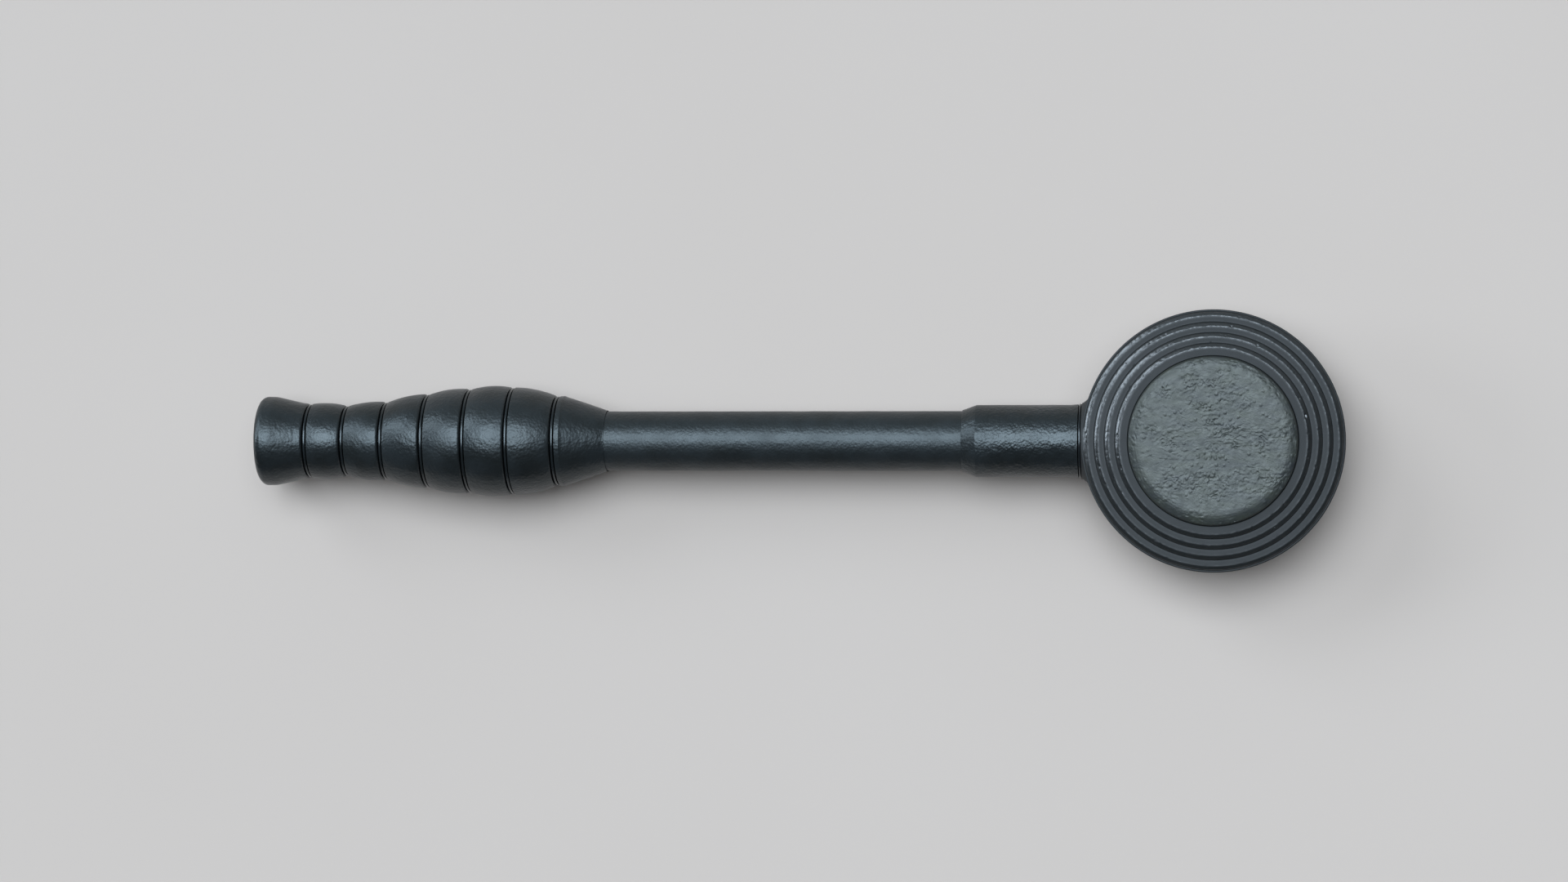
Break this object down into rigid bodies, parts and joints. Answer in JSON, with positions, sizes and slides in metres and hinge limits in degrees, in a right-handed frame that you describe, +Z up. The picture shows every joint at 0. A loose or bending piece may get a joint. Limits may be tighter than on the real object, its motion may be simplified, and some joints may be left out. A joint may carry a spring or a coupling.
{
  "type": "reflex hammer",
  "caption": "Neurological reflex hammer with a weighted disc head in a stepped rubber bumper, a straight shaft and a handle of stacked grip rings.",
  "frame": {"origin": "on the surface that the hammer lies on, under the middle of its length and width", "axes": "+X along the handle towards the head, +Z up out of the head's upper face, +Y across the handle"},
  "size_m": [0.24, 0.0568, 0.0246],
  "materials": {
    "grip_rubber": "charcoal black, semi-gloss, fine leathery grain",
    "spacer_plastic": "black, glossy",
    "shaft_coat": "charcoal black coat, semi-gloss, orange peel",
    "bumper_rubber": "charcoal, satin",
    "core_cast": "dark grey coat on a rough casting",
    "steel": "turned",
    "brass": "turned"
  },
  "bodies": {
    "handle": {"grip_ring_1": "grip_rubber", "grip_ring_2": "grip_rubber", "grip_ring_3": "grip_rubber", "grip_ring_4": "grip_rubber", "grip_ring_5": "grip_rubber", "grip_ring_6": "grip_rubber", "grip_spacer_2": "spacer_plastic", "grip_spacer_3": "spacer_plastic", "grip_spacer_4": "spacer_plastic", "grip_spacer_5": "spacer_plastic", "grip_spacer_6": "spacer_plastic", "grip_spacer_7": "spacer_plastic", "grip_nose": "grip_rubber", "tie_rod": "steel", "rear_bush": "steel", "shaft_tube": "shaft_coat", "front_bush": "steel", "collar": "shaft_coat", "head_stud": "steel"},
    "neck": {"neck_washer": "steel"},
    "head": {"head_core": "core_cast", "bumper_ring": "bumper_rubber", "neck_sleeve": "steel"},
    "tail": {"grip_spacer_1": "spacer_plastic"},
    "butt": {"butt_cap": "grip_rubber", "butt_insert": "brass"}
  },
  "joints": [
    {"name": "head_back_off", "type": "slide", "parent": "handle", "child": "neck", "axis": [1, 0, 0], "range_m": [0, 0.009]},
    {"name": "head_unscrew", "type": "hinge", "parent": "neck", "child": "head", "pos_m": [0.0916, 0, 0.0123], "axis": [1, 0, 0], "range_deg": [0, 3240]},
    {"name": "butt_back_off", "type": "slide", "parent": "handle", "child": "tail", "axis": [-1, 0, 0], "range_m": [0, 0.0064]},
    {"name": "butt_unscrew", "type": "hinge", "parent": "tail", "child": "butt", "pos_m": [-0.12, 0, 0.0123], "axis": [-1, 0, 0], "range_deg": [0, 2880]}
  ],
  "couplings": [
    {"joint": "head_unscrew", "follows": "head_back_off", "rad_per_m": 6283.2},
    {"joint": "butt_unscrew", "follows": "butt_back_off", "rad_per_m": 7854}
  ]
}
